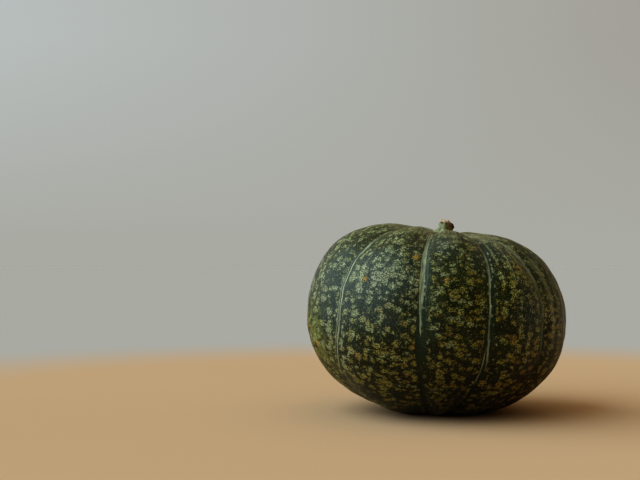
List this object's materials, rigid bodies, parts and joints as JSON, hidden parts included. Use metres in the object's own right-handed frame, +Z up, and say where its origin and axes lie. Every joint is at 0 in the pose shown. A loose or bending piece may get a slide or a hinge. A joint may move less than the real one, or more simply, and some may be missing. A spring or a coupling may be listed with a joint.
{
  "type": "kabocha squash",
  "caption": "Whole ribbed kabocha squash, dark green with pale mottling and pale groove lines, leaning slightly on its lobes, with a short cut corky stem.",
  "frame": {"origin": "centre of the bounding box's bottom face, on the surface that the squash rests on", "axes": "+Z up, the shortest extent; -Y is the front, +X the side that the stem end leans to"},
  "size_m": [0.1788, 0.1804, 0.1326],
  "materials": {
    "rind": "semi-gloss waxy rind, bottle green with clustered pale sage to ochre flecks and pale groove lines",
    "stem_cork": "dry corky stalk, pale sage side, cream cut top and a brown knob"
  },
  "bodies": {
    "root": {"squash_body": "rind", "stem": "stem_cork"}
  },
  "joints": []
}
